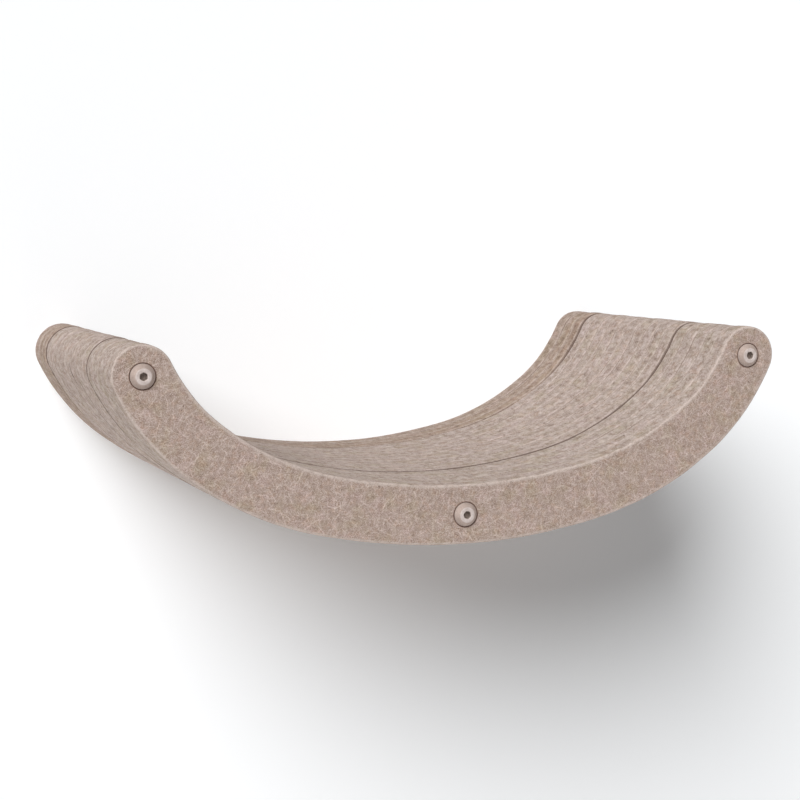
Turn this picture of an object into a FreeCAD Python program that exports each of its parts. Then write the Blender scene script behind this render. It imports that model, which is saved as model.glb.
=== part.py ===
import FreeCAD, Part
import math
import os
from collections import namedtuple

# A crescent-shaped lying shelf for a wall, in millimetres. Equal felt layers are stacked out from the wall
# on three threaded rods. A steel bracket, set into the back of the last layer, holds the rods and takes the
# wall screws. Cap nuts on the front layer clamp the stack.
#
# +X runs along the wall, +Y points into it and +Z is up. The wall is the plane y = 0. The origin is the
# middle of the lower pair of wall screws.

# Outer edge of a layer, as tangent arcs from the middle of its lower edge out to a tip.
bottom_arc_radius = 463.0
bottom_arc_sweep = 13.3
flank_arc_radius = 244.0
flank_arc_sweep = 24.3
tip_arc_radius = 165.0
tip_arc_sweep = 27.4
band_width = 42.0

# Felt layers, counted from the front.
felt_layer_count = 18
felt_thickness = 15.7
felt_edge_round = 0.8
seam_edge_round = 1.6
front_block_layer_count = 5
middle_block_layer_count = 10

# Threaded rods.
rod_diameter = 8.0
rod_end_chamfer = 0.8
rod_hole_clearance = 0.5
rod_wall_gap = 0.5
thread_clearance = 0.1

# Wall bracket, a steel strip along the middle of the band.
bracket_width = 24.0
bracket_thickness = 4.0
bracket_side_clearance = 0.5
wall_screw_hole = 5.5
wall_screw_head = 10.4
lower_screw_spacing = 140.0
upper_screw_spacing = 380.0

# Washer and lock nut on the front of the bracket.
washer_diameter = 16.0
washer_thickness = 1.6
washer_hole_clearance = 0.2
lock_nut_across_flats = 13.0
lock_nut_height = 4.0
lock_nut_chamfer = 0.6
lock_nut_room = 2.0

# Cap nuts.
cap_head_diameter = 17.0
cap_head_height = 4.0
cap_rim_height = 0.8
cap_flat_diameter = 11.6
cap_seat_depth = 0.8
cap_seat_clearance = 0.5
cap_sleeve_diameter = 10.0
cap_sleeve_length = 13.0
cap_sleeve_clearance = 0.25
cap_edge_round = 0.4
socket_across_flats = 5.0
socket_depth = 4.0
socket_floor = 1.2
rod_end_gap = 0.8
socket_turn = {"left": 2.0, "middle": -14.0, "right": 21.0}

HEX_STEP = 60.0
INWARD = FreeCAD.Vector(0, 1, 0)
PAST = 1.0  # how far a cutting tool runs past a face

Arc = namedtuple("Arc", "x z radius start end")


def half_outline(bottom):
    """Arcs of the middle line of the band, from x = 0 to the right tip."""
    arcs = []
    x, z, heading = 0.0, bottom, 0.0
    sizes = (
        (bottom_arc_radius, bottom_arc_sweep),
        (flank_arc_radius, flank_arc_sweep),
        (tip_arc_radius, tip_arc_sweep),
    )
    for radius, sweep in sizes:
        centre_x = x - radius * math.sin(heading)
        centre_z = z + radius * math.cos(heading)
        turned = heading + math.radians(sweep)
        arcs.append(Arc(centre_x, centre_z, radius - band_width / 2, heading, turned))
        x = centre_x + radius * math.sin(turned)
        z = centre_z - radius * math.cos(turned)
        heading = turned
    return arcs


def middle_height(arcs, x):
    """Height of the band's middle line at a distance x from the centre."""
    for arc in arcs:
        if x <= arc.x + arc.radius * math.sin(arc.end):
            break
    return arc.z - math.sqrt(arc.radius**2 - (x - arc.x) ** 2)


outline_bottom = -middle_height(half_outline(0.0), lower_screw_spacing / 2)
outline = half_outline(outline_bottom)
front_face = -felt_layer_count * felt_thickness
cap_seat = front_face + cap_seat_depth
cap_top = cap_seat - cap_head_height
cap_bore_floor = cap_top + socket_depth + socket_floor
rod_front = cap_bore_floor + rod_end_gap


def arc_point(arc, radius, angle, y):
    return FreeCAD.Vector(arc.x + radius * math.sin(angle), y, arc.z - radius * math.cos(angle))


def arc_edge(arc, offset, start, end, y):
    radius = arc.radius + offset
    ends = [arc_point(arc, radius, angle, y) for angle in (start, (start + end) / 2, end)]
    return Part.Arc(*ends).toShape()


def mirrored(shape):
    return shape.mirror(FreeCAD.Vector(0, 0, 0), FreeCAD.Vector(1, 0, 0))


def tip_centre(y):
    last = outline[-1]
    return arc_point(last, last.radius, last.end, y)


def tip_edge(half_width, y):
    """Half circle that closes the band at the right tip."""
    last = outline[-1]
    ahead = FreeCAD.Vector(math.cos(last.end), 0, math.sin(last.end)) * half_width
    outer = arc_point(last, last.radius + half_width, last.end, y)
    inner = arc_point(last, last.radius - half_width, last.end, y)
    return Part.Arc(outer, tip_centre(y) + ahead, inner).toShape()


def crescent(width, y, depth):
    """Solid with the crescent's outline at this band width, from y to y + depth."""
    half_width = width / 2
    bottom, *sides = outline
    right = [tip_edge(half_width, y)]
    edges = []
    for offset in (half_width, -half_width):
        edges.append(arc_edge(bottom, offset, -bottom.end, bottom.end, y))
        right += [arc_edge(arc, offset, arc.start, arc.end, y) for arc in sides]
    edges += right + [mirrored(edge) for edge in right]
    wire = Part.Wire(Part.__sortEdges__(edges))
    return Part.Face(wire).extrude(INWARD * depth)


def cylinder(diameter, centre, y, length):
    return Part.makeCylinder(diameter / 2, length, FreeCAD.Vector(centre.x, y, centre.z), INWARD)


def cone(front_diameter, back_diameter, centre, y, length):
    start = FreeCAD.Vector(centre.x, y, centre.z)
    return Part.makeCone(front_diameter / 2, back_diameter / 2, length, start, INWARD)


def hexagon(across_flats, centre, y, length, turn):
    """Six-sided bar with one corner turned from straight up by this many degrees."""
    corner = across_flats / 2 / math.cos(math.radians(HEX_STEP / 2))
    angles = [math.radians(turn + i * HEX_STEP) for i in range(7)]
    points = [
        FreeCAD.Vector(centre.x + corner * math.sin(a), y, centre.z + corner * math.cos(a))
        for a in angles
    ]
    return Part.Face(Part.makePolygon(points)).extrude(INWARD * length)


def rim_edges(solid, y):
    """Edges of a solid that lie in the plane at y."""
    return [e for e in solid.Edges if abs(e.BoundBox.YMin - y) < 1e-6 and abs(e.BoundBox.YMax - y) < 1e-6]


def write(name, shape):
    shape = shape.removeSplitter()
    if len(shape.Solids) != 1 or not shape.isValid():
        raise ValueError(f"{name} is not one valid solid")
    shape.Solids[0].exportStep(f"parts/{name}.step")
    print(f"{name}: {shape.Volume:.1f} mm3")


rod_places = {
    "left": mirrored(Part.Vertex(tip_centre(0))).Point,
    "middle": FreeCAD.Vector(0, 0, outline_bottom + band_width / 2),
    "right": tip_centre(0),
}
screw_places = [
    FreeCAD.Vector(side * spacing / 2, 0, middle_height(outline, spacing / 2))
    for spacing in (lower_screw_spacing, upper_screw_spacing)
    for side in (-1, 1)
]


def layer_edge_round(layers_in_front):
    """Rounding of the two edges that meet behind this many layers, wider where two blocks meet."""
    seams = (front_block_layer_count, front_block_layer_count + middle_block_layer_count)
    return seam_edge_round if layers_in_front in seams else felt_edge_round


def felt_layer(number):
    y = front_face + (number - 1) * felt_thickness
    layer = crescent(band_width, y, felt_thickness)
    layer = layer.makeFillet(layer_edge_round(number - 1), rim_edges(layer, y))
    back = y + felt_thickness
    layer = layer.makeFillet(layer_edge_round(number), rim_edges(layer, back))
    hole = rod_diameter + 2 * rod_hole_clearance
    if number == 1:
        layer = layer.cut(cap_seats(y))
        hole = max(hole, cap_sleeve_diameter + 2 * cap_sleeve_clearance)
    if number == felt_layer_count:
        layer = layer.cut(bracket_pocket())
        hole = max(washer_diameter, lock_nut_corner()) + 2 * lock_nut_room
    for place in rod_places.values():
        layer = layer.cut(cylinder(hole, place, y - PAST, felt_thickness + 2 * PAST))
    return layer


def cap_seats(y):
    """Shallow round seats that the cap nuts press into the front layer."""
    diameter = cap_head_diameter + 2 * cap_seat_clearance
    return [cylinder(diameter, place, y - PAST, cap_seat_depth + PAST) for place in rod_places.values()]


def bracket_pocket():
    width = bracket_width + 2 * bracket_side_clearance
    return crescent(width, -bracket_thickness, bracket_thickness + PAST)


def wall_bracket():
    bracket = crescent(bracket_width, -bracket_thickness, bracket_thickness)
    reach = bracket_thickness + 2 * PAST
    for place in rod_places.values():
        bore = rod_diameter + 2 * thread_clearance
        bracket = bracket.cut(cylinder(bore, place, -bracket_thickness - PAST, reach))
    sink = (wall_screw_head - wall_screw_hole) / 2
    for place in screw_places:
        bracket = bracket.cut(cylinder(wall_screw_hole, place, -bracket_thickness - PAST, reach))
        bracket = bracket.cut(cone(wall_screw_head, wall_screw_hole, place, -bracket_thickness, sink))
    return bracket


def rod(place):
    body = cylinder(rod_diameter, place, rod_front, -rod_wall_gap - rod_front)
    ends = rim_edges(body, rod_front) + rim_edges(body, -rod_wall_gap)
    return body.makeChamfer(rod_end_chamfer, ends)


def washer(place):
    y = -bracket_thickness - washer_thickness
    disc = cylinder(washer_diameter, place, y, washer_thickness)
    hole = rod_diameter + 2 * washer_hole_clearance
    return disc.cut(cylinder(hole, place, y - PAST, washer_thickness + 2 * PAST))


def lock_nut_corner():
    return lock_nut_across_flats / math.cos(math.radians(HEX_STEP / 2))


def lock_nut(place):
    y = -bracket_thickness - washer_thickness - lock_nut_height
    body = hexagon(lock_nut_across_flats, place, y, lock_nut_height, 0.0)
    blank = cylinder(lock_nut_corner(), place, y, lock_nut_height)
    body = body.common(blank.makeChamfer(lock_nut_chamfer, rim_edges(blank, y)))
    bore = rod_diameter + 2 * thread_clearance
    return body.cut(cylinder(bore, place, y - PAST, lock_nut_height + 2 * PAST))


def cap_nut(place, turn):
    slope = cap_head_height - cap_rim_height
    head = cylinder(cap_head_diameter, place, cap_seat - cap_rim_height, cap_rim_height)
    head = head.fuse(cone(cap_flat_diameter, cap_head_diameter, place, cap_top, slope))
    head = head.removeSplitter()
    head = head.makeFillet(cap_edge_round, rim_edges(head, cap_top))
    body = head.fuse(cylinder(cap_sleeve_diameter, place, cap_seat, cap_sleeve_length))
    bore = rod_diameter + 2 * thread_clearance
    depth = cap_seat + cap_sleeve_length - cap_bore_floor
    body = body.cut(cylinder(bore, place, cap_bore_floor, depth + PAST))
    return body.cut(hexagon(socket_across_flats, place, cap_top - PAST, socket_depth + PAST, turn))


def main():
    os.makedirs("parts", exist_ok=True)
    for number in range(1, felt_layer_count + 1):
        write(f"felt_layer_{number:02d}", felt_layer(number))
    write("wall_bracket", wall_bracket())
    for side, place in rod_places.items():
        write(f"threaded_rod_{side}", rod(place))
        write(f"washer_{side}", washer(place))
        write(f"lock_nut_{side}", lock_nut(place))
        write(f"cap_nut_{side}", cap_nut(place, socket_turn[side]))
    print(f"tip centre: {rod_places['right']}, middle rod: {rod_places['middle']}")
    print(f"wall screws: {[tuple(round(v, 3) for v in place) for place in screw_places]}")


main()
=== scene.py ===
import itertools
import math
import bpy
import numpy as np
from mathutils import Matrix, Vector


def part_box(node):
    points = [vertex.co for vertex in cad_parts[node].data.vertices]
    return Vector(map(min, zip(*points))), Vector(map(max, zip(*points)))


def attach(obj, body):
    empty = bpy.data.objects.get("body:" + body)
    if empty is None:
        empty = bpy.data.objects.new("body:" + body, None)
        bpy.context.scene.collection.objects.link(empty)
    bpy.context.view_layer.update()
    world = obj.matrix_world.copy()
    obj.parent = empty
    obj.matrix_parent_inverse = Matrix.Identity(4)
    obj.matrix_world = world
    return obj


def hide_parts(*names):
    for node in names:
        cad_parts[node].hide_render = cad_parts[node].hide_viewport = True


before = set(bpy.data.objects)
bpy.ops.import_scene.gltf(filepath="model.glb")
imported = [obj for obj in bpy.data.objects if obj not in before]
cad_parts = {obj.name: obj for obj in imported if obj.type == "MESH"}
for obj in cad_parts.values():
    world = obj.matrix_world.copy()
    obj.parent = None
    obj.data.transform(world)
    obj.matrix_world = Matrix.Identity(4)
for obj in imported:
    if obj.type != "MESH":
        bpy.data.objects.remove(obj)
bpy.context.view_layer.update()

# A crescent-shaped lying shelf of stacked felt layers on a wall, dressed for the camera.
# Shapes are worked out in millimetres and become metres when a mesh is made.
metresPerMillimetre = 0.001


def boxInMillimetres(node):
    low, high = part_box(node)
    return np.array(low) / metresPerMillimetre, np.array(high) / metresPerMillimetre


class Socket:
    # One output of a shader node. The operators add Math nodes.
    def __init__(self, paint, output):
        self.paint = paint
        self.output = output

    def maths(self, operation, *others):
        inputs = dict(enumerate((self,) + others))
        return self.paint.node("Math", {"operation": operation}, inputs)

    def other(self, name):
        return Socket(self.paint, self.output.node.outputs[name])

    def split(self):
        kind, names = "SeparateXYZ", ("X", "Y", "Z")
        if self.output.type == "RGBA":
            kind, names = "SeparateColor", ("Red", "Green", "Blue")
        return [self.paint.node(kind, None, {0: self}, name) for name in names]

    def __add__(self, other):
        return self.maths("ADD", other)

    def __radd__(self, other):
        return self.maths("ADD", other)

    def __sub__(self, other):
        return self.maths("SUBTRACT", other)

    def __rsub__(self, other):
        return self.paint.node("Math", {"operation": "SUBTRACT"}, {0: other, 1: self})

    def __mul__(self, other):
        return self.maths("MULTIPLY", other)

    def __rmul__(self, other):
        return self.maths("MULTIPLY", other)

    def __truediv__(self, other):
        return self.maths("DIVIDE", other)


class Nodes:
    # A node tree, with short ways to add nodes to it.
    def __init__(self, tree):
        self.tree = tree

    def node(self, kind, settings=None, inputs=None, output=0):
        made = self.tree.nodes.new("ShaderNode" + kind)
        for name, value in (settings or {}).items():
            if name == "stops":
                ramp = made.color_ramp
                while len(ramp.elements) < len(value):
                    ramp.elements.new(1.0)
                for element, (place, colour) in zip(ramp.elements, value):
                    element.position = place
                    element.color = (*colour, 1.0)
            else:
                setattr(made, name, value)
        for name, value in (inputs or {}).items():
            self.feed(made.inputs[name], value)
        return Socket(self, made.outputs[output])

    def feed(self, target, value):
        if isinstance(value, Socket):
            self.tree.links.new(value.output, target)
        elif hasattr(value, "__len__") and len(value) == 3 and target.type == "RGBA":
            target.default_value = (*value, 1.0)
        else:
            target.default_value = value

    def mix(self, share, colourA, colourB):
        return self.node("Mix", {"data_type": "RGBA"}, {0: share, 6: colourA, 7: colourB}, 2)

    def tint(self, share, colour, factors):
        settings = {"data_type": "RGBA", "blend_type": "MULTIPLY"}
        return self.node("Mix", settings, {0: share, 6: colour, 7: factors}, 2)

    def between(self, value, low, high, newLow=0.0, newHigh=1.0):
        inputs = {"Value": value, "From Min": low, "From Max": high, "To Min": newLow, "To Max": newHigh}
        return self.node("MapRange", {"clamp": True}, inputs)

    def vector(self, x, y, z):
        return self.node("CombineXYZ", None, {0: x, 1: y, 2: z})

    def noise(self, where, scale, detail=2.0, roughness=0.5):
        inputs = {"Vector": where, "Scale": scale, "Detail": detail, "Roughness": roughness}
        return self.node("TexNoise", None, inputs)

    def attribute(self, name):
        return self.node("Attribute", {"attribute_name": name}, None, "Fac")

    def place(self):
        # Object coordinates, as three numbers.
        where = self.node("TexCoord", None, None, "Object")
        return [self.node("SeparateXYZ", None, {0: where}, axis) for axis in range(3)]


class Paint(Nodes):
    # A material whose surface is one Principled shader.
    def __init__(self, name):
        self.material = bpy.data.materials.new(name)
        self.material.use_nodes = True
        super().__init__(self.material.node_tree)
        self.shader = self.tree.nodes["Principled BSDF"]
        self.end = self.tree.nodes["Material Output"]

    def bump(self, look, height):
        strength, depth = look["bumpStrength"], look["bumpDepth"] * metresPerMillimetre
        return self.node("Bump", None, {"Strength": strength, "Distance": depth, "Height": height})

    def finish(self, **sockets):
        for name, value in sockets.items():
            self.feed(self.shader.inputs[name.replace("_", " ")], value)
        return self.material


def fromScreen(red, green, blue):
    # A colour given as it shows on a screen, 0 to 255, made linear by the sRGB curve.
    values = np.array([red, green, blue]) / 255
    return tuple(np.where(values <= 0.04045, values / 12.92, ((values + 0.055) / 1.055) ** 2.4))


feltLook = {
    # colours as a screen shows them, the first five with the shade at which each is reached
    "shades": (
        (0.00, (117, 99, 89)), (0.26, (150, 131, 120)), (0.50, (173, 155, 145)),
        (0.74, (191, 174, 165)), (1.00, (209, 193, 185))),
    # pale rim on rounded edges: lighter fuzz, and a painted highlight
    "paleRim": (200, 186, 178),
    # painted shade for the seams between layers and the gaps where they stand open
    "seamShade": (76, 60, 52),
    # painted shade for the gap round each cap nut's seat
    "seatShade": (122, 96, 84),
    # tints, as what they multiply red, green and blue by
    "olive": (0.91, 0.93, 0.80),
    "pink": (1.17, 1.13, 1.20),
    "rust": (1.04, 0.89, 0.78),
    "cutEdge": (0.91, 0.965, 0.99),
    "middleBlock": (1.04, 0.985, 1.0),
    # the back block's browner felt, with painted shade where the middle block shades its front
    "backBlockBrownAndShade": (0.80, 0.72, 0.64),
    "backBlockOnFaces": 0.4,  # the share of that tint which flat faces get
    # noises that steer tints: scale, detail, roughness, and how far each is moved right and up
    "patchNoises": {
        "blotch": (1 / 15.0, 3.0, 0.55, 0.0, 0.0),
        "cloud": (0.11, 2.0, 0.5, 500.0, 0.0),
        "patch": (0.24, 3.0, 0.65, 0.0, 900.0)},
    # patches: the noise, its values where the tint starts and is full, the tint's share there, the tint
    "patches": (
        ("blotch", 0.50, 0.66, 0.55, "olive"), ("cloud", 0.50, 0.68, 0.45, "pink"),
        ("patch", 0.50, 0.66, 0.40, "rust"), ("patch", 0.48, 0.34, 0.25, "pink")),
    # what makes up the shade of a point
    "middleShade": 0.47,
    "grainStrength": 1.68,
    "tuftStrength": 0.55,
    "paleStrength": 0.27,
    "darkStrength": 0.16,
    "sideStrands": 0.5,  # on cut sides only, these four are added
    "sideTuft": 0.5,
    "sideGrain": -0.7,
    "sidePale": -0.15,
    # sizes of the pattern, scales in cycles per millimetre
    "sideStretch": (0.75, 0.42),  # how a cut side's pattern is drawn out along and across the edge
    "layerShift": 37.0,  # keeps the layers' patterns apart, as the other shifts by layer do
    "fineScale": 1.55,
    "tuftScale": 0.33,
    "swirlScale": 0.30,
    "swirlReach": 2.4,
    "swirlShift": 91.0,
    "strandScale": (0.14, 0.9),
    "strandShift": 5.0,
    "rimBreakup": (0.80, 1.15, 0.35),  # grain at which the pale rim fades and is whole, and its share where it fades
    "speckHeight": 0.2,
    "bumpStrength": 0.45,
    "bumpDepth": 0.30,
    "roughness": 0.93,
    "specular": 0.12,
    "sheen": 0.08,
    "sheenRoughness": 0.55,
    "sheenTint": (0.85, 0.66, 0.54),
}
# cell size, width, how much it bends, the shift that keeps one set of fibres apart from the next, and
# the share of the cells that hold a fibre
paleFibres = (
    (13.0, 0.62, 1.0, 3.1, 0.70), (8.0, 0.54, 1.5, 17.7, 0.80), (4.6, 0.42, 2.2, 41.3, 0.90),
    (3.1, 0.36, 2.6, 65.9, 0.90))
darkFibres = ((5.2, 0.46, 2.2, 28.4, 0.80), (3.0, 0.40, 2.8, 53.8, 0.80))
fibreForm = {
    "upShift": 1.7,  # the shift upwards, as a share of the shift to the right
    "ends": (0.62, 0.38),  # distances from the cell's point at which a fibre is gone, and still whole
    "onset": 0.25,  # range of random weights over which fibres grow faint
}


def fibres(paint, right, up, cell, width, bend, shift, share):
    # One bent fibre in each cell of a Voronoi pattern: how near a point is to the parabola through the
    # cell's own point, turned by the cell's random colour and faded out towards its ends.
    form = fibreForm
    x, y = right / cell + shift, up / cell + shift * form["upShift"]
    settings = {"voronoi_dimensions": "2D", "feature": "F1"}
    spot = paint.node("TexVoronoi", settings, {"Vector": paint.vector(x, y, 0.0), "Scale": 1.0}, "Position")
    spotX, spotY, _ = spot.split()
    turn, curl, weight = spot.other("Color").split()
    cosine, sine = (turn * math.tau).maths("COSINE"), (turn * math.tau).maths("SINE")
    awayX, awayY = x - spotX, y - spotY
    lengthwise = awayX * cosine + awayY * sine
    sideways = awayY * cosine - awayX * sine + lengthwise * lengthwise * (curl - 0.5) * bend
    body = paint.between(sideways.maths("ABSOLUTE"), width / cell, 0.0)
    ends = paint.between(lengthwise.maths("ABSOLUTE"), *form["ends"])
    return body * ends * paint.between(weight, share, share - form["onset"])


def feltPaint():
    # Shade: a middle value plus fine grain, coarser tufts and pale fibres, less dark fibres. A ramp turns it
    # into a colour, patches of noise tint that, and the mesh's attributes bring in pale rims that are partly
    # a painted highlight, painted shade in the seams and round the cap nuts' seats, and the back block's
    # browner tone with painted shade towards its front.
    paint, look = Paint("pressedFelt"), feltLook
    paleRim, seamShade, seatShade = (
        fromScreen(*look[name]) for name in ("paleRim", "seamShade", "seatShade"))
    perMillimetre = 1 / metresPerMillimetre
    x, y, z = paint.place()
    cut, rim, seam, seat, layer, middle, backToneAndShade = (paint.attribute(name) for name in (
        "cutSide", "rim", "seam", "seat", "layerSeed", "middleTone", "lastTone"))
    along, across, _ = paint.node("UVMap", {"uv_map": "alongEdge"}).split()
    # flat faces read the place in the plane of the layer, cut sides the way along and across the edge
    onSide = cut.maths("GREATER_THAN", 0.5)
    onFace = 1 - onSide
    alongShare, acrossShare = look["sideStretch"]
    right = (onSide * along * alongShare + onFace * x) * perMillimetre
    up = (onSide * across * acrossShare + onFace * z) * perMillimetre
    deep = layer * look["layerShift"]
    flat = paint.vector(right, up, deep)
    swirls = {"Vector": flat, "Scale": look["swirlScale"], "Detail": 2.0}
    swirl = paint.node("TexNoise", None, swirls, "Color")
    swirlX, swirlY, speck = swirl.split()
    bentX = right + (swirlX - 0.5) * look["swirlReach"] + layer * look["swirlShift"]
    bentY = up + (swirlY - 0.5) * look["swirlReach"]

    pale, dark = 0.0, 0.0
    for kind in paleFibres:
        pale = pale + fibres(paint, bentX, bentY, *kind)
    for kind in darkFibres:
        dark = dark + fibres(paint, bentX, bentY, *kind)
    strandRight, strandUp = look["strandScale"]
    strandPlace = paint.vector(right * strandRight, up * strandUp, layer * look["strandShift"])
    fine = paint.noise(flat, look["fineScale"], 2.0, 0.7)
    tuft = paint.noise(flat, look["tuftScale"], 2.0, 0.6)
    strands = paint.noise(strandPlace, 1.0, 2.0, 0.5)
    onlySide = ((strands - 0.5) * look["sideStrands"] + (tuft - 0.5) * look["sideTuft"]
                + (fine - 0.5) * look["sideGrain"] + pale * look["sidePale"])
    grain = (fine - 0.5) * look["grainStrength"] + (tuft - 0.5) * look["tuftStrength"] + onSide * onlySide
    shade = grain + pale * look["paleStrength"] - dark * look["darkStrength"] + look["middleShade"]
    stops = [(place, fromScreen(*value)) for place, value in look["shades"]]
    body = paint.node("ValToRGB", {"stops": stops}, {"Fac": shade})

    noises = {}
    for name, (scale, detail, roughness, toRight, upwards) in look["patchNoises"].items():
        where = paint.vector(right + toRight, up + upwards, deep)
        noises[name] = paint.noise(where, scale, detail, roughness)
    for name, start, full, most, tint in look["patches"]:
        body = paint.tint(paint.between(noises[name], start, full, 0.0, most), body, look[tint])
    faceShare = look["backBlockOnFaces"]
    backToneAndShadeShare = backToneAndShade * (onSide * (1 - faceShare) + faceShare)
    # the back block's tint carries its browner tone and a painted shade towards its front
    for share, tint in ((onSide, "cutEdge"), (middle * onSide, "middleBlock"), (backToneAndShadeShare, "backBlockBrownAndShade")):
        body = paint.tint(share, body, look[tint])
    # the pale rim on rounded edges, lighter fuzz and a painted highlight, broken up by the grain
    body = paint.mix(rim * paint.between(fine + tuft, *look["rimBreakup"]), body, paleRim)
    # painted shade: the seams between layers and their open gaps are darkened
    body = paint.mix(seam, body, seamShade)
    # painted shade: the felt round each cap nut's seat is darkened
    body = paint.mix(seat, body, seatShade)
    bump = paint.bump(look, shade + speck * look["speckHeight"])
    return paint.finish(
        Base_Color=body, Roughness=look["roughness"], Normal=bump, Specular_IOR_Level=look["specular"],
        Sheen_Weight=look["sheen"], Sheen_Roughness=look["sheenRoughness"], Sheen_Tint=look["sheenTint"])


capLook = {
    # the sloping side darker as painted shade, the flat crown lighter as painted light
    "side": (177, 162, 154),
    "crown": (203, 193, 189),
    "cloud": (156, 141, 133),
    "speck": (150, 135, 126),
    "bareMetal": (154, 141, 133),
    "cloudScale": 220.0,
    "cloudRange": (0.35, 0.65, 0.0, 0.40),  # from and to which noise, and what share it gives there
    "speckScale": 900.0,
    "speckRange": (0.60, 0.75, 0.0, 0.35),
    "roughness": (0.3, 0.7, 0.74, 0.90),
    "metallic": 0.70,
    "bareMetallic": 0.25,  # what bare metal adds to it
    "specular": 0.2,
    "cloudHeight": 0.5,
    "bumpStrength": 0.25,
    "bumpDepth": 0.05,
}


def capPaint():
    # Paint on metal: the crown's lighter colour over the side's darker one, painted light on the flat crown
    # and painted shade on the slope, clouded and speckled, and bare metal in the socket.
    paint, look = Paint("beigePaint"), capLook
    where = paint.vector(*paint.place())
    speckle = paint.noise(where, look["speckScale"], 3.0, 0.6)
    cloud = paint.noise(where, look["cloudScale"], 3.0, 0.6)
    bare, crown = paint.attribute("bareMetal"), paint.attribute("crown")
    # painted light: the flat crown lighter, the sloping side darker
    body = paint.mix(crown, fromScreen(*look["side"]), fromScreen(*look["crown"]))
    body = paint.mix(paint.between(cloud, *look["cloudRange"]), body, fromScreen(*look["cloud"]))
    body = paint.mix(paint.between(speckle, *look["speckRange"]), body, fromScreen(*look["speck"]))
    body = paint.mix(bare, body, fromScreen(*look["bareMetal"]))
    bump = paint.bump(look, speckle + cloud * look["cloudHeight"])
    return paint.finish(
        Base_Color=body, Roughness=paint.between(speckle, *look["roughness"]), Normal=bump,
        Metallic=bare * look["bareMetallic"] + look["metallic"], Specular_IOR_Level=look["specular"])


zincLook = {
    "dull": (122, 122, 119),
    "bright": (150, 150, 146),
    "hazeScale": 130.0,
    "hazeRange": (0.35, 0.7),
    "spangleScale": 420.0,
    "spangleShare": 0.12,
    "roughness": (0.3, 0.75, 0.38, 0.55),
    "bumpStrength": 0.2,
    "bumpDepth": 0.04,
}


def zincPaint():
    # Zinc plate: dull and bright by a haze, with a little of each Voronoi cell's own colour as its spangle.
    paint, look = Paint("zincPlate"), zincLook
    where = paint.vector(*paint.place())
    cells = {"Vector": where, "Scale": look["spangleScale"]}
    spangle = paint.node("TexVoronoi", {"feature": "F1"}, cells, "Color")
    haze = paint.noise(where, look["hazeScale"], 4.0, 0.65)
    hazy = paint.between(haze, *look["hazeRange"])
    body = paint.mix(hazy, fromScreen(*look["dull"]), fromScreen(*look["bright"]))
    body = paint.mix(look["spangleShare"], body, spangle)
    return paint.finish(
        Base_Color=body, Metallic=1.0, Roughness=paint.between(haze, *look["roughness"]),
        Normal=paint.bump(look, haze))


powderLook = {
    "dark": (92, 88, 85),
    "light": (106, 101, 97),
    "pit": (140, 134, 129),
    "hazeScale": 60.0,
    "hazeRange": (0.3, 0.7),
    "pitScale": 1500.0,
    "pitRange": (0.6, 0.75, 0.0, 0.35),
    "roughness": (0.3, 0.7, 0.5, 0.66),
    "bumpStrength": 0.5,
    "bumpDepth": 0.06,
}


def powderPaint():
    # Powder coat: two greys mixed by a haze, with fine pits that catch the light.
    paint, look = Paint("powderCoat"), powderLook
    where = paint.vector(*paint.place())
    pits = paint.noise(where, look["pitScale"], 2.0, 0.6)
    haze = paint.noise(where, look["hazeScale"], 3.0)
    hazy = paint.between(haze, *look["hazeRange"])
    body = paint.mix(hazy, fromScreen(*look["dark"]), fromScreen(*look["light"]))
    body = paint.mix(paint.between(pits, *look["pitRange"]), body, fromScreen(*look["pit"]))
    return paint.finish(
        Base_Color=body, Roughness=paint.between(pits, *look["roughness"]), Normal=paint.bump(look, pits))


felt, capFinish, zinc, powder = feltPaint(), capPaint(), zincPaint(), powderPaint()
print("finishes ready")


noiseLattice = 32     # lattice points along a side, after which the noise repeats
weldDigits = 4        # points that agree in so many decimals of a millimetre are one
hair = 1e-6           # millimetres, below which a length counts as nothing


def softNoise(points, grain, seed):
    # Random numbers on a lattice this far apart, blended with a smooth step between lattice points.
    side = noiseLattice
    lattice = np.random.default_rng(seed).random((side, side, side)) * 2 - 1
    scaled = points / grain
    cell = np.floor(scaled).astype(int)
    part = scaled - cell
    part = part * part * (3 - 2 * part)
    total = np.zeros(points.shape[:-1])
    for corner in itertools.product((0, 1), repeat=3):
        weight = np.prod(np.where(corner, part, 1 - part), axis=-1)
        index = (cell + corner) % side
        total += weight * lattice[index[..., 0], index[..., 1], index[..., 2]]
    return total


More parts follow.
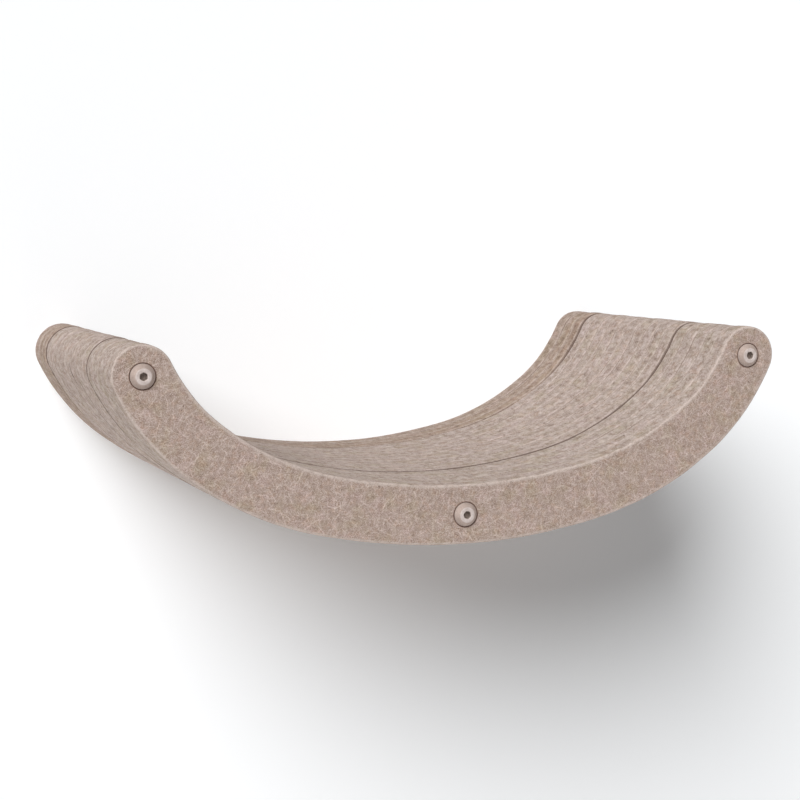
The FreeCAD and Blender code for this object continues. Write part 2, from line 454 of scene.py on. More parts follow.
def gridMesh(name, rows, keep, material, sharp, values=None, u=None, v=None, caps=()):
    # rows is (M, N, 3): row m and row m + 1 are joined by N quads, closed round in n, where keep[m, n] is
    # true. Points that coincide are welded, points in no quad are left out, and quads that lose a corner by
    # welding become triangles. caps names rows that end in one flat face, and values are point attributes.
    rowCount, columnCount = rows.shape[:2]
    flatPoints = rows.reshape(-1, 3)
    beside = keep | np.roll(keep, 1, axis=1)
    inUse = np.zeros((rowCount, columnCount), bool)
    inUse[:-1] |= beside
    inUse[1:] |= beside
    anchored = np.where(inUse.reshape(-1, 1), flatPoints, flatPoints[np.argmax(inUse)])
    _, first, weld = np.unique(
        np.round(anchored, weldDigits), axis=0, return_index=True, return_inverse=True)
    weld = weld.reshape(rowCount, columnCount)
    u = np.arange(columnCount) * 1.0 if u is None else u
    v = np.arange(rowCount) * 1.0 if v is None else v
    uAll, vAll = np.meshgrid(np.append(u, 2 * u[-1] - u[-2]), v)
    closed = np.concatenate([weld, weld[:, :1]], axis=1)

    def around(grid):
        return np.stack([grid[:-1, :-1], grid[1:, :-1], grid[1:, 1:], grid[:-1, 1:]], axis=-1)[keep]

    corners, spots = around(closed), np.stack([around(uAll), around(vAll)], axis=-1)
    same = corners == np.roll(corners, -1, axis=1)
    whole = ~same.any(axis=1)
    faces, uvs = [corners[whole]], [spots[whole]]
    for index in range(4):
        pinched = same[:, index] & (same.sum(axis=1) == 1)
        faces.append(np.delete(corners[pinched], index, axis=1))
        uvs.append(np.delete(spots[pinched], index, axis=1))
    faceList = sum((group.tolist() for group in faces), [])
    faceList += [weld[row][::step].tolist() for row, step in caps]
    mesh = bpy.data.meshes.new(name)
    mesh.from_pydata(anchored[first] * metresPerMillimetre, [], faceList)
    layer = mesh.uv_layers.new(name="alongEdge")
    uvData = np.concatenate([group.reshape(-1, 2) for group in uvs])
    uvData = np.concatenate([uvData, np.zeros((len(layer.data) - len(uvData), 2))])
    layer.data.foreach_set("uv", (uvData * metresPerMillimetre).astype(np.float32).ravel())
    for key, value in (values or {}).items():
        spread = np.broadcast_to(np.asarray(value, float), (rowCount, columnCount)).reshape(-1)
        attribute = mesh.attributes.new(key, "FLOAT", "POINT")
        attribute.data.foreach_set("value", spread[first].astype(np.float32))
    mesh.validate()
    mesh.update()
    mesh.polygons.foreach_set("use_smooth", np.ones(len(mesh.polygons), bool))
    mesh.set_sharp_from_angle(angle=math.radians(sharp))
    mesh.materials.append(material)
    piece = bpy.data.objects.new(name, mesh)
    bpy.context.scene.collection.objects.link(piece)
    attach(piece, "root")
    return piece


def eitherSide(flags):
    # True for each quad between a column and the next where either column is flagged.
    return flags | np.roll(flags, -1)


crescent = {
    "arcRadii": (463.0, 244.0, 165.0),  # outer edge, from the middle of the lower edge out to a tip
    "arcSweeps": (13.3, 24.3, 27.4),
    "bandWidth": 42.0,
    "columnStep": 2.0,
    "capColumns": 34,
    "holeColumns": 25,
}
bandHalf = crescent["bandWidth"] / 2
middleRadii = np.array(crescent["arcRadii"]) - bandHalf
arcSweeps = np.radians(crescent["arcSweeps"])
halfLength = float((middleRadii * arcSweeps).sum())
lowestPoint = boxInMillimetres("felt_layer_01")[0][2]


def middleLine(walked):
    # Tangent arcs laid end to end: on each, the heading grows by the length walked over its radius,
    # and x and z by the radius times the change of the heading's sine and minus cosine.
    x, z, heading = (np.zeros_like(walked) for _ in range(3))
    started, turnedBefore = 0.0, 0.0
    for radius, sweep in zip(middleRadii, arcSweeps):
        turned = np.clip(np.abs(walked) - started, 0, radius * sweep) / radius
        x += radius * (np.sin(turnedBefore + turned) - math.sin(turnedBefore))
        z += radius * (math.cos(turnedBefore) - np.cos(turnedBefore + turned))
        heading += turned
        started += radius * sweep
        turnedBefore += sweep
    points = np.stack([np.sign(walked) * x, z + lowestPoint + bandHalf], axis=-1)
    return points, np.sign(walked) * heading


def bandColumns(holes):
    # One column per place round the band: out along the lower side, round the right tip, back along the
    # upper side and round the left tip. Each has a base point on the middle line and a direction out of it.
    step = crescent["columnStep"]
    walked = np.linspace(-halfLength, halfLength, round(2 * halfLength / step) + 1)
    swing = np.cos(np.linspace(0, math.pi, crescent["holeColumns"]))
    for place, radius in holes:
        walked = walked[np.abs(walked - place) > radius + step / 4]
    for place, radius in holes:
        walked = np.append(walked, place + radius * swing)
    walked = np.append(walked, (-halfLength, halfLength))
    walked = np.unique(np.round(walked[np.abs(walked) <= halfLength], 3))
    base, heading = middleLine(walked)
    inward = np.stack([-np.sin(heading), np.cos(heading)], axis=-1)
    turned = np.linspace(0, math.pi, crescent["capColumns"] + 2)[1:-1, None]

    def tip(end, sense):
        ahead = sense * np.array([math.cos(heading[end]), math.sin(heading[end])])
        out = -sense * inward[end] * np.cos(turned) + ahead * np.sin(turned)
        return np.repeat(base[end][None], len(out), axis=0), out

    rightBase, rightOut = tip(-1, 1)
    leftBase, leftOut = tip(0, -1)
    bases = np.concatenate([base, rightBase, base[::-1], leftBase])
    outs = np.concatenate([-inward, rightOut, inward[::-1], leftOut])
    first = len(base) + len(rightBase) // 2
    return np.roll(bases, -first, axis=0), np.roll(outs, -first, axis=0)


def holeReach(bases, outs, holes):
    # How far each column has to go from its base to leave the round holes: the root of a quadratic.
    reach = np.zeros(len(bases))
    for place, radius in holes:
        centre = middleLine(np.array([place]))[0][0]
        offset = bases - centre
        towards = (offset * outs).sum(-1)
        inside = radius**2 - (offset**2).sum(-1)
        found = -towards + np.sqrt(np.maximum(inside + towards**2, 0))
        reach = np.where(inside > -hair, np.maximum(reach, found), reach)
    return reach


def cornerRows(edge, inset, y0, yStep, steps, outFirst):
    # Quarter round between a flat face and the edge, as (distance from the middle line, y) pairs.
    angle = np.linspace(0, math.pi / 2, steps + 1)
    across = edge - inset + inset * np.sin(angle)
    y = y0 + yStep * inset * (1 - np.cos(angle))
    pairs = list(zip(across, y))
    return pairs if outFirst else pairs[::-1]


rodPlaces = {"left": -halfLength, "middle": 0.0, "right": halfLength}

feltCut = {
    "edgeRound": 0.95,  # corner radius of a cut edge
    "seamRound": {5: 1.5, 15: 2.0},  # the same at the wider seams, by the layer in front of them
    "rimRound": 0.8,  # the same at the front face and at the wall
    "roundSpread": 0.45,
    "seamGap": {5: 0.28, 15: 1.0},  # how far each layer's edge stands back from a wider seam
    "gapReach": 7.0,
    "gapPower": 1.5,
    "gapFade": (58.0, 94.0, 0.3),  # heights between which the widest seam closes, and what is left
    "openSpots": {9: 0.45, 12: 0.8},  # seams that stand open for a short way, and how far
    "openRound": 0.9,
    "openPlace": (-248.0, 91.5),
    "openReach": 8.0,
    "rodHole": 4.5,
    "seatRadius": 9.1,
    "seatDepth": 0.8,
    # how far beyond the seat the painted shade round a cap nut reaches
    "seatShadeReach": 0.4,
    "sleeveHole": 5.25,
    "nutHole": 10.0,
    "pocketHalf": 12.5,
    "pocketDepth": 4.0,
    # rows of the grid
    "frontRows": 12,
    "hiddenRows": 3,
    "sideRows": 8,
    "cornerSteps": 4,
    "seatRings": (0.25, 0.7),
    "pocketRings": (0.75, 0.5, 0.25),
    # unevenness: how much, and the length over which it changes
    "waver": (0.26, 24.0),  # slow, of a cut edge
    "nap": (0.08, 3.1),  # fine, of a cut edge
    "faceWaver": (0.12, 13.0),
    "roundLength": 17.0,
    "swell": 0.22,  # how far a cut side swells between its corners
    "swellPower": 0.7,
    "edgeReach": 3.0,  # how far in from the edge these reach
    "seatDip": 0.25,  # how far the front face is drawn in beside a cap nut
    "dipWidth": 2.4,
    "faceDepth": 0.9,
    "outlineSpread": 0.24,
    "setOut": {4: 0.0, 5: -0.20, 6: 0.20, 7: -0.05},  # layers that stand proud of the rest or short of it
    "shiftSpread": 0.22,
    # what the attributes say
    "paintedSeamShade": (0.50, 0.45, 26.0),  # painted shade in a seam, its spread, and the length over which it changes
    "leastSeamShade": 0.10,
    "widerSeamShade": 0.8,
    "seamShadeFade": (0.9, 0.6),  # the power it fades with over a corner, less this where wide
    # the pale rim on the cut sides' corners, lighter fuzz and a painted highlight
    "sideRim": 0.5,
    "sideRimReach": 5.0,  # the rim ends one part in so many from the corner
    "middleTone": (0.18, 0.24),  # a random part, and what the middle block adds
    "lastTone": 0.10,
    "toneAtWall": 0.45,  # the layers nearest the wall are browner felt, and painted shade darkens them most at their front
    "shadeTowardsFront": 0.45,
    "backBlockDepth": 47.1,
    "seedStep": 0.37,
    # steps that keep the layers' and the seams' noise apart, and the seeds of their random numbers
    "seamStep": 61.0,
    "layerStep": 50.0,
    "depthShare": 0.6,
    "faceShift": 300.0,
    "uvStep": 40.0,
    "seeds": {"layer": 700, "waver": 11, "nap": 12, "face": 13, "round": 21, "paintedSeamShade": 22},
}


def seamRounding(seam, edgePoints):
    # Corner radius beside a seam, how far the seam stands open, how dark its painted shade is, and the power
    # that painted shade fades with over the corner: each a base value with noise along the edge, plus what a
    # wider seam has, plus a bell curve round the open place.
    cut = feltCut
    seeds, (seamShadeBase, seamShadeSpread, seamShadeLength) = cut["seeds"], cut["paintedSeamShade"]
    base = cut["seamRound"].get(seam, cut["edgeRound"])
    track = np.insert(edgePoints, 1, seam * cut["seamStep"], axis=1)
    radius = base * (1 + cut["roundSpread"] * softNoise(track, cut["roundLength"], seeds["round"]))
    distance = np.linalg.norm(edgePoints - np.array(cut["openPlace"]), axis=1)
    opened = np.exp(-(distance / cut["openReach"]) ** 2) * (seam in cut["openSpots"])
    radius += opened * cut["openRound"]
    low, high, left = cut["gapFade"]
    closing = left + (1 - left) * np.clip((edgePoints[:, 1] - low) / (high - low), 0, 1)
    closing = np.where(seam == max(cut["seamRound"]), closing, 1.0)
    gap = cut["seamGap"].get(seam, 0.0) * closing + opened * cut["openSpots"].get(seam, 0.0)
    wide = np.clip(opened + cut["widerSeamShade"] * closing * (seam in cut["seamRound"]), 0, 1)
    # the seam's painted shade: a base with noise along the edge, more where the seam is wide or open
    paintedSeamShade = seamShadeBase + seamShadeSpread * softNoise(track, seamShadeLength, seeds["paintedSeamShade"]) + wide
    fade, lessWide = cut["seamShadeFade"]
    return radius, gap, np.clip(paintedSeamShade, cut["leastSeamShade"], 1.0), fade - lessWide * wide


def feltLayer(number, count):
    # The cut of one layer: each column runs from a hole's wall over the front face, round the corner, across
    # the cut side, round the other corner and back over the rear face. A point is the column's base on the
    # middle line plus its way out times the distance, at the row's depth. Noise then moves the cut side.
    cut = feltCut
    name = f"felt_layer_{number:02d}"
    low, high = boxInMillimetres(name)
    front, back = low[1], high[1]
    isFront, isBack = number == 1, number == count
    mainHole = cut["seatRadius"] if isFront else cut["nutHole"] if isBack else cut["rodHole"]
    holes = [(place, mainHole) for place in rodPlaces.values()]
    innerHoles = [(place, cut["sleeveHole"]) for place in rodPlaces.values()] if isFront else holes
    bases, outs = bandColumns(holes + (innerHoles if isFront else []))
    edgePoints = bases + outs * bandHalf
    reach, innerReach = holeReach(bases, outs, holes), holeReach(bases, outs, innerHoles)
    plain = np.full(len(bases), cut["rimRound"]), 0.0, np.zeros(len(bases)), 1.0
    # each seam's painted shade comes with its corner radius and gap
    frontRound, frontGap, frontSeamShade, frontFade = plain if isFront else seamRounding(number - 1, edgePoints)
    backRound, backGap, backSeamShade, backFade = plain if isBack else seamRounding(number, edgePoints)
    steps, sides, sideRim = cut["cornerSteps"], cut["sideRows"], cut["sideRim"]
    everywhere = np.ones(len(bases), bool)
    rows, keep, marks = [], [], []

    def add(across, y, cutSide=0.0, rim=0.0, seam=0.0, isOpen=everywhere):
        rows.append((across + 0.0 * bases[:, 0], y + 0.0 * bases[:, 0]))
        keep.append(isOpen)
        marks.append([np.broadcast_to(mark, len(bases)) for mark in (cutSide, rim, seam)])

    edgeFront, edgeBack = bandHalf - frontRound, bandHalf - backRound
    inner = reach
    add(reach, front, seam=frontSeamShade)
    if isFront:
        for ring in cut["seatRings"]:
            inner = reach + ring
            add(inner, front)
    for share in np.linspace(0, 1, (cut["frontRows"] if isFront else cut["hiddenRows"]) + 1)[1:-1]:
        add(inner + (edgeFront - inner) * share, front, seam=frontSeamShade)
    for index in range(steps + 1):
        turned, share = index / steps * math.pi / 2, index / steps
        across = edgeFront + frontRound * math.sin(turned)
        y = front + frontRound * (1 - math.cos(turned))
        rim = 1 - sideRim * share if isFront else sideRim * share
        add(across, y, share, rim, frontSeamShade * (1 - share) ** frontFade)
    for share in np.linspace(0, 1, sides + 1)[1:-1]:
        y = front + frontRound + (back - backRound - front - frontRound) * share
        add(bandHalf, y, 1.0, sideRim * max(0.0, 1 - cut["sideRimReach"] * min(share, 1 - share)))
    for index in range(steps, -1, -1):
        turned, share = index / steps * math.pi / 2, index / steps
        across = edgeBack + backRound * math.sin(turned)
        y = back - backRound * (1 - math.cos(turned))
        rim = 1 - sideRim * share if isBack else sideRim * share
        add(across, y, share, rim, backSeamShade * (1 - share) ** backFade)
    if isBack:
        pocket, floor = cut["pocketHalf"], back - cut["pocketDepth"]
        for share in cut["pocketRings"]:
            add(pocket + (edgeBack - pocket) * share, back)
        add(pocket, back)
        add(pocket, floor)
        add(pocket + (reach - pocket) / 2, floor)
        add(reach, floor, isOpen=eitherSide(reach > 0))
    else:
        for share in np.linspace(1, 0, cut["hiddenRows"] + 1)[1:-1]:
            add(innerReach + (edgeBack - innerReach) * share, back, seam=backSeamShade)
        add(innerReach, back, seam=backSeamShade, isOpen=eitherSide(innerReach > 0))
    if isFront:
        seat = front + cut["seatDepth"]
        add(innerReach, seat, isOpen=eitherSide(reach > 0))
        add(reach, seat, isOpen=eitherSide(reach > 0))
    add(reach, front, seam=frontSeamShade)

    # seams that stand open, and the unevenness of the cut side
    across = np.array([row[0] for row in rows])
    depth = np.array([row[1] for row in rows])
    loop = np.append(0, np.cumsum(np.linalg.norm(np.diff(edgePoints, axis=0), axis=1)))
    middle = np.clip((depth - front) / (back - front), 0, 1)
    nearEdge = np.clip(1 - (bandHalf - across) / cut["gapReach"], 0, 1) ** cut["gapPower"]
    depth = depth + nearEdge * (frontGap * (1 - middle) - backGap * middle)
    edgeReach, seeds = cut["edgeReach"], cut["seeds"]
    onEdge = np.clip((across - bandHalf + edgeReach) / edgeReach, 0, 1)
    flat = bases[None] + outs[None] * across[..., None]
    away = depth * cut["depthShare"] + number * cut["layerStep"]
    track = np.stack([flat[..., 0], away, flat[..., 1]], axis=-1)
    dice = np.random.default_rng(seeds["layer"] + number)
    grown = cut["setOut"].get(number, dice.uniform(-1, 1) * cut["outlineSpread"])
    shift = dice.uniform(-1, 1, 2) * cut["shiftSpread"]
    swell = cut["swell"] * (np.sin(math.pi * middle) ** cut["swellPower"] - 0.5)
    (waver, waverLength), (nap, napLength) = cut["waver"], cut["nap"]
    uneven = waver * softNoise(track, waverLength, seeds["waver"])
    uneven = uneven + nap * softNoise(track, napLength, seeds["nap"])
    flat += outs[None] * (onEdge * (grown + uneven + swell))[..., None] + onEdge[..., None] * shift
    points = np.stack([flat[..., 0], depth, flat[..., 1]], axis=-1)

    # the front face wavers, and dips beside the cap nuts, and painted shade darkens each nut's seat
    seatShadeShare = np.zeros(across.shape)
    if isFront:
        centres = [middleLine(np.array([place]))[0][0] for place in rodPlaces.values()]
        nearest = np.min([np.linalg.norm(flat - centre, axis=-1) for centre in centres], axis=0)
        fromSeat = nearest - cut["seatRadius"]
        # painted shade: full inside the seat, fading out just beyond it
        seatShadeShare = np.clip(1 - fromSeat / cut["seatShadeReach"], 0, 1)
        onFace = np.exp(-((depth - front) / cut["faceDepth"]) ** 2) * (across > reach + 0.01)
        faceWaver, faceLength = cut["faceWaver"]
        level = faceWaver * softNoise(points * (1, 0, 1) + cut["faceShift"], faceLength, seeds["face"])
        dip = cut["seatDip"] * np.exp(-(fromSeat / cut["dipWidth"]) ** 2)
        points[..., 1] += onFace * (level + dip)

    # tones of the three blocks of layers, and the back block's painted shade, darker towards its front
    isMiddle, isLast = (number > seam for seam in cut["seamRound"])
    toneSpread, blockTone = cut["middleTone"]
    middleTone = dice.uniform(0.0, toneSpread) + blockTone * (isMiddle and not isLast)
    fromWall = np.clip(-depth / cut["backBlockDepth"], 0, 1)
    lastTone = cut["toneAtWall"] + cut["shadeTowardsFront"] * fromWall
    lastTone = dice.uniform(0.0, cut["lastTone"]) + isLast * lastTone
    v = np.append(0, np.cumsum(np.hypot(np.diff(across.max(1)), np.diff(depth.max(1)))))
    values = dict(zip(("cutSide", "rim", "seam"), np.array(marks).transpose(1, 0, 2)))
    values |= {"seat": seatShadeShare, "layerSeed": number * cut["seedStep"]}
    values |= {"middleTone": middleTone, "lastTone": lastTone}
    piece = gridMesh(
        f"feltLayer{number:02d}", points, np.array(keep[:-1]), felt, 50.0, values, loop,
        v + number * cut["uvStep"])
    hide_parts(name)


layerCount = sum(name.startswith("felt_layer_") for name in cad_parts)
for number in range(1, layerCount + 1):
    feltLayer(number, layerCount)
print("felt layers:", layerCount)

bracketCut = {
    "halfWidth": 12.0,
    "edgeRound": 0.4,
    "roundSteps": 3,
    "linePoints": 4000,  # points on the middle line between which a screw's place is found
    "rodHole": 4.1,
    "screwHole": 2.75,
    "sinkRadius": 5.2,
    "screwReach": (70.0, 190.0),
}


def wallBracket():
    # The same columns as a felt layer's, on a narrower band: from a hole's wall over the front, round the
    # edge and over the back, with a cone from the countersink's radius down to the screw hole's.
    cut = bracketCut
    low, high = boxInMillimetres("wall_bracket")
    front, back = low[1], high[1]
    spots = np.linspace(0, halfLength, cut["linePoints"])
    screws = [side * float(np.interp(reach, middleLine(spots)[0][:, 0], spots))
              for reach in cut["screwReach"] for side in (-1, 1)]
    rods = [(place, cut["rodHole"]) for place in rodPlaces.values()]
    wide = rods + [(place, cut["sinkRadius"]) for place in screws]
    narrow = rods + [(place, cut["screwHole"]) for place in screws]
    bases, outs = bandColumns(wide + narrow)
    wideReach, narrowReach = holeReach(bases, outs, wide), holeReach(bases, outs, narrow)
    everywhere = np.ones(len(bases), bool)
    half, inset, steps = cut["halfWidth"], cut["edgeRound"], cut["roundSteps"]
    rows, keep = [], []

    def add(across, y, isOpen=everywhere):
        rows.append(np.stack(np.broadcast_arrays(across, y, everywhere)[:2], axis=-1))
        keep.append(isOpen)

    sink = cut["sinkRadius"] - cut["screwHole"]
    add(wideReach, front)
    add((wideReach + half) / 2, front)
    for across, y in cornerRows(half, inset, front, 1, steps, True):
        add(across, y)
    for across, y in cornerRows(half, inset, back, -1, steps, False):
        add(across, y)
    add((narrowReach + half) / 2, back)
    add(narrowReach, back, eitherSide(narrowReach > 0))
    sunk = np.where(wideReach > narrowReach + hair, front + sink, front)
    add(narrowReach, sunk, eitherSide(wideReach > 0))
    add(wideReach, front)
    grid = np.array(rows)
    flat = bases[None] + outs[None] * grid[..., :1]
    points = np.stack([flat[..., 0], grid[..., 1], flat[..., 1]], axis=-1)
    piece = gridMesh("wallBracket", points, np.array(keep[:-1]), powder, 30.0)
    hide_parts("wall_bracket")


wallBracket()
print("wall bracket")

capNut = {
    "turns": {"left": 2.0, "middle": -14.0, "right": 21.0},
    "columns": 96,
    "crownRings": (3.8, 4.4),
    "crownSlope": 0.012,
    "flatRadius": 5.8,
    "headRadius": 8.5,
    "headHeight": 4.0,
    "rimHeight": 0.8,
    "shoulder": 3.2,
    "rimRound": 0.5,
    "skirtRound": 0.15,
    "socketApothem": 2.5,
    "socketDepth": 4.0,
    "socketRings": (0.45, 0.32),
    "drillMark": ((0.25, 0.75), (1.2, 0.35), (2.1, 0.0)),  # radius, and depth below the socket's floor
    "mouth": 3.0,
    "mouthRound": ((-0.12, 0.1), (0.02, 0.02), (0.25, 0.0)),  # beyond the mouth's radius, and depth
    "sleeveRadius": 5.0,
    "sleeveLength": 13.0,
    "sleeveChamfer": 0.5,
    "boreRadius": 4.1,
    "boreChamfer": 0.25,
    "boreFloor": 5.2,
    "boreEnd": 0.3,
    "bareDepths": (0.15, 5.15),  # bare metal lies between these depths, inside the next radius
    "bareRadius": 2.95,
    "crownDepth": 0.25,  # the crown's lighter colour, a painted light, reaches to this depth and radius
    "crownRadius": 6.0,
}


def roundedCorner(before, corner, after, radius, steps):
    # Curve that replaces a corner: it leaves each side at radius times the tangent of half the turn, and
    # runs from one of those places to the other as a quadratic Bezier curve with the corner as its handle.
    before, corner, after = (np.array(p, float) for p in (before, corner, after))
    inDirection = (corner - before) / np.linalg.norm(corner - before)
    outDirection = (after - corner) / np.linalg.norm(after - corner)
    turn = math.acos(float(np.clip(inDirection @ outDirection, -1, 1)))
    back = radius * math.tan(turn / 2)
    share = np.linspace(0, 1, steps + 1)[:, None]
    start, end = corner - inDirection * back, corner + outDirection * back
    return (1 - share) ** 2 * start + 2 * share * (1 - share) * corner + share**2 * end


def turnedRows(profile, front, angles):
    # A profile of (radius, depth, sixSided) carried round an axis along y. Where sixSided is 1 the radius
    # is the flat's distance, divided by the cosine of the angle from the middle of the nearest flat.
    radius, depth, sixSided = (column[:, None] for column in np.array(profile, float).T)
    fromFlat = np.mod(angles, math.pi / 3) - math.pi / 6
    stretch = 1 + sixSided * (1 / np.cos(fromFlat)[None] - 1)
    return radius * stretch, front + depth + 0 * stretch


def makeCapNut(side):
    # A profile turned round the rod's axis: the socket's floor and flats, the crown, the shoulder, the rim,
    # the sleeve and the bore.
    nut = capNut
    low, high = boxInMillimetres(f"cap_nut_{side}")
    centre, front = (low + high) / 2, low[1]
    top, cone = nut["headHeight"], nut["headHeight"] - nut["rimHeight"]
    floor, end = nut["socketDepth"], top + nut["sleeveLength"]
    apothem, mouth, bore, sleeve = (
        nut[name] for name in ("socketApothem", "mouth", "boreRadius", "sleeveRadius"))
    socketDepths = (floor - 0.1, floor * 0.6, *nut["socketRings"])
    profile = [(radius, floor + below, 0) for radius, below in nut["drillMark"]]
    profile += [(apothem - 0.05, floor, 1)]
    profile += [(apothem, depth, 1) for depth in socketDepths]
    profile += [(mouth + beyond, depth, 0) for beyond, depth in nut["mouthRound"]]
    profile += [(radius, nut["crownSlope"] * (radius - mouth), 0) for radius in nut["crownRings"]]
    crownEnd, flatEnd = (nut["crownRings"][-1], 0.0), (nut["flatRadius"], 0.0)
    coneEnd, headBack = (nut["headRadius"], cone), (nut["headRadius"], top)
    shoulder = roundedCorner(crownEnd, (nut["flatRadius"], 0.03), coneEnd, nut["shoulder"], 6)
    rim = roundedCorner(flatEnd, coneEnd, headBack, nut["rimRound"], 5)
    skirt = roundedCorner(coneEnd, headBack, (sleeve, top), nut["skirtRound"], 3)
    profile += [(*pair, 0) for pair in (*shoulder, *rim, *skirt)]
    profile += [(sleeve, depth, 0) for depth in (top, top + 0.2, end - nut["sleeveChamfer"])]
    profile += [(sleeve - nut["sleeveChamfer"], end, 0), (bore + nut["boreChamfer"], end, 0)]
    profile += [(bore, end - nut["boreChamfer"], 0), (bore, nut["boreFloor"], 0)]
    profile += [(nut["boreEnd"], nut["boreFloor"], 0)]
    angles = np.arange(nut["columns"]) * 2 * math.pi / nut["columns"]
    radius, depth = turnedRows(profile, front, angles)
    turned = angles[None] + math.radians(nut["turns"][side])
    points = np.stack([
        centre[0] + radius * np.sin(turned), depth, centre[2] + radius * np.cos(turned)], axis=-1)
    radii, depths, _ = np.array(profile, float).T
    bareFrom, bareTo = nut["bareDepths"]
    inSocket = (depths > bareFrom) & (depths < bareTo) & (radii < nut["bareRadius"])
    # the flat crown that gets the lighter colour, a painted light
    onLitCrown = (depths < nut["crownDepth"]) & (radii < nut["crownRadius"])
    keep = np.ones((len(profile) - 1, nut["columns"]), bool)
    piece = gridMesh(
        f"capNut{side.capitalize()}", points[::-1], keep, capFinish, 32.0,
        {"bareMetal": inSocket[::-1, None], "crown": onLitCrown[::-1, None]},
        caps=((0, 1), (len(profile) - 1, -1)))
    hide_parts(f"cap_nut_{side}")


threadedRod = {
    "radius": 4.0,
    "pitch": 1.25,
    "threadDepth": 0.62,
    "valley": (1.15, 1.3),  # height and steepness of the wave, whose clipped ends are the thread's flats
    "rowsPerTurn": 5,
    "columns": 28,
    "chamfer": 0.9,
}


def makeRod(side):
    # Radius over height and angle: the rod's radius less a triangle wave that climbs one pitch a turn.
    rod = threadedRod
    low, high = boxInMillimetres(f"threaded_rod_{side}")
    centre, length = (low + high) / 2, high[1] - low[1]
    rowCount = round(length / rod["pitch"] * rod["rowsPerTurn"]) + 1
    height = np.linspace(0, length, rowCount)[:, None]
    angles = (np.arange(rod["columns"]) * 2 * math.pi / rod["columns"])[None]
    phase = np.mod(height / rod["pitch"] - angles / (2 * math.pi), 1)
    peak, steepness = rod["valley"]
    valley = np.clip(peak - np.abs(2 * phase - 1) * steepness, 0, 1)
    radius = rod["radius"] - rod["threadDepth"] * valley
    fromEnd = np.minimum(height, length - height)
    radius = np.minimum(radius, rod["radius"] - rod["chamfer"] + fromEnd)
    points = np.stack([
        centre[0] + radius * np.cos(angles), low[1] + height + 0 * angles,
        centre[2] + radius * np.sin(angles)], axis=-1)
    keep = np.ones((rowCount - 1, rod["columns"]), bool)
    caps = ((0, 1), (rowCount - 1, -1))
    piece = gridMesh(f"threadedRod{side.capitalize()}", points, keep, zinc, 60.0, caps=caps)
    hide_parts(f"threaded_rod_{side}")


for side in rodPlaces:
    makeCapNut(side)
    makeRod(side)
    for node in (f"washer_{side}", f"lock_nut_{side}"):
        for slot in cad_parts[node].material_slots:
            slot.material = zinc
print("cap nuts, rods, washers and lock nuts")

room = {
    "wallHalfWidth": 3.0,  # metres, as all of the room
    "wallLow": -1.25,
    "wallHigh": 2.4,
    "wallGap": 0.0006,
    "floorReach": 4.0,
    "wallColour": (0.972, 0.986, 1.0),
    "floorColour": (0.985, 0.985, 0.985),
    "glow": 0.03,
    "worldStrength": 0.17,
}


def seenRay(nodes):
    # 1 for camera, glossy and transmission rays and 0 for all others: the largest of the three flags.
    camera = nodes.node("LightPath", None, None, "Is Camera Ray")
    glossy, through = camera.other("Is Glossy Ray"), camera.other("Is Transmission Ray")
    return camera.maths("MAXIMUM", glossy).maths("MAXIMUM", through)


def stageMaterial(name, colour):
    # Pale seen from its front and clear from behind, with a little light of its own for those rays.
    paint = Paint(name)
    paint.finish(
        Base_Color=colour, Roughness=1.0, Specular_IOR_Level=0.0, Emission_Color=seenRay(paint),
        Emission_Strength=room["glow"])
    clear = paint.node("BsdfTransparent")
    behind = paint.node("NewGeometry", None, None, "Backfacing")
    solid = Socket(paint, paint.shader.outputs[0])
    shown = paint.node("MixShader", None, {0: behind, 1: solid, 2: clear})
    paint.feed(paint.end.inputs["Surface"], shown)
    return paint.material


def stagePlane(name, corners, colour):
    mesh = bpy.data.meshes.new(name)
    mesh.from_pydata(corners, [], [(0, 1, 2, 3)])
    mesh.materials.append(stageMaterial(name + "White", colour))
    plane = bpy.data.objects.new(name, mesh)
    bpy.context.scene.collection.objects.link(plane)
    plane.visible_diffuse = False
    plane.visible_glossy = False
    plane.visible_shadow = False


def makeRoom():
    wide, low, high, gap = room["wallHalfWidth"], room["wallLow"], room["wallHigh"], room["wallGap"]
    wallCorners = [(-wide, gap, low), (wide, gap, low), (wide, gap, high), (-wide, gap, high)]
    stagePlane("backWall", wallCorners, room["wallColour"])
    reach = room["floorReach"]
    floorCorners = [(-wide, -reach, low), (wide, -reach, low), (wide, gap, low), (-wide, gap, low)]
    stagePlane("paleFloor", floorCorners, room["floorColour"])
    world = bpy.data.worlds.new("studio")
    world.use_nodes = True
    studio = Nodes(world.node_tree)
    background = studio.tree.nodes["Background"]
    strength = studio.between(seenRay(studio), 0.0, 1.0, room["worldStrength"], 1.0)
    studio.feed(background.inputs["Strength"], strength)
    studio.feed(background.inputs["Color"], (1.0, 1.0, 1.0))
    bpy.context.scene.world = world


# Wide distant lamps, with angles in degrees. Azimuth 0 shines from the front and -90 from the left.
lamps = {
    "key": {"azimuth": -41.0, "elevation": 35.0, "spread": 40.0, "strength": 3.82},
    "left": {"azimuth": -112.0, "elevation": -40.0, "spread": 80.0, "strength": 0.25},
    "low": {"azimuth": 28.7, "elevation": -22.4, "spread": 60.0, "strength": 0.22},
    "under": {"azimuth": 147.6, "elevation": -61.0, "spread": 80.0, "strength": 3.4},
    "rear": {"azimuth": 176.0, "elevation": 12.0, "spread": 80.0, "strength": 1.1},
}


lampDistance = 3.0


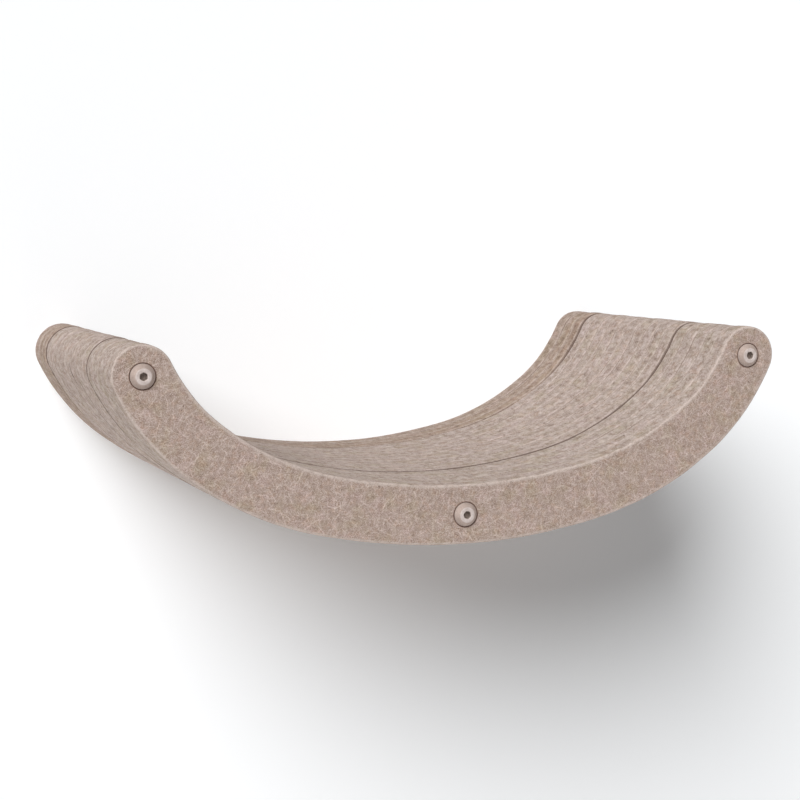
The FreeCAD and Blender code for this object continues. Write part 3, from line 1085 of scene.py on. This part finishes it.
def makeLamps():
    # A lamp's direction is (sin azimuth cos elevation, -cos azimuth cos elevation, sin elevation).
    for name, lamp in lamps.items():
        data = bpy.data.lights.new(name, "SUN")
        data.angle = math.radians(lamp["spread"])
        data.energy = lamp["strength"]
        holder = bpy.data.objects.new(name, data)
        bpy.context.scene.collection.objects.link(holder)
        turn, rise = math.radians(lamp["azimuth"]), math.radians(lamp["elevation"])
        level = math.cos(rise)
        place = np.array((math.sin(turn) * level, -math.cos(turn) * level, math.sin(rise)))
        holder.matrix_world = lookingMatrix(place * lampDistance, -place, 0.0)


def lookingMatrix(place, forward, roll):
    # Camera or lamp axes: -z looks forward, x is level and then turned by the roll.
    forward = np.array(forward) / np.linalg.norm(forward)
    right = np.cross(forward, (0, 0, 1))
    right /= np.linalg.norm(right)
    up = np.cross(right, forward)
    rolledRight = math.cos(roll) * right + math.sin(roll) * up
    rolledUp = math.cos(roll) * up - math.sin(roll) * right
    axes = np.stack([rolledRight, rolledUp, -forward, place], axis=-1)
    return Matrix(np.vstack([axes, (0, 0, 0, 1)]).tolist())


view = {
    "fromFront": 1.1327,  # metres from the first layer's front, the shelf's middle and its lowest point
    "fromCentre": -0.4904,
    "aboveLowest": 0.2217,
    "yaw": 0.3714,  # radians, as pitch and roll
    "pitch": 0.0966,
    "roll": -0.0048,
    "lens": 79.70,
    "sensor": 36.0,
    "clip": (0.01, 50.0),
}


def makeCamera():
    # The camera looks along (sin yaw cos pitch, cos yaw cos pitch, -sin pitch).
    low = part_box("felt_layer_01")[0]
    place = np.array([view["fromCentre"], low.y - view["fromFront"], low.z + view["aboveLowest"]])
    yaw, pitch = view["yaw"], view["pitch"]
    forward = (math.sin(yaw) * math.cos(pitch), math.cos(yaw) * math.cos(pitch), -math.sin(pitch))
    data = bpy.data.cameras.new("photoCamera")
    data.lens, data.sensor_width, data.sensor_fit = view["lens"], view["sensor"], "HORIZONTAL"
    data.clip_start, data.clip_end = view["clip"]
    camera = bpy.data.objects.new("photoCamera", data)
    bpy.context.scene.collection.objects.link(camera)
    camera.matrix_world = lookingMatrix(place, forward, view["roll"])
    bpy.context.scene.camera = camera


makeRoom()
makeLamps()
makeCamera()
bpy.context.scene.view_settings.view_transform = "Standard"
print("room, lamps and camera")
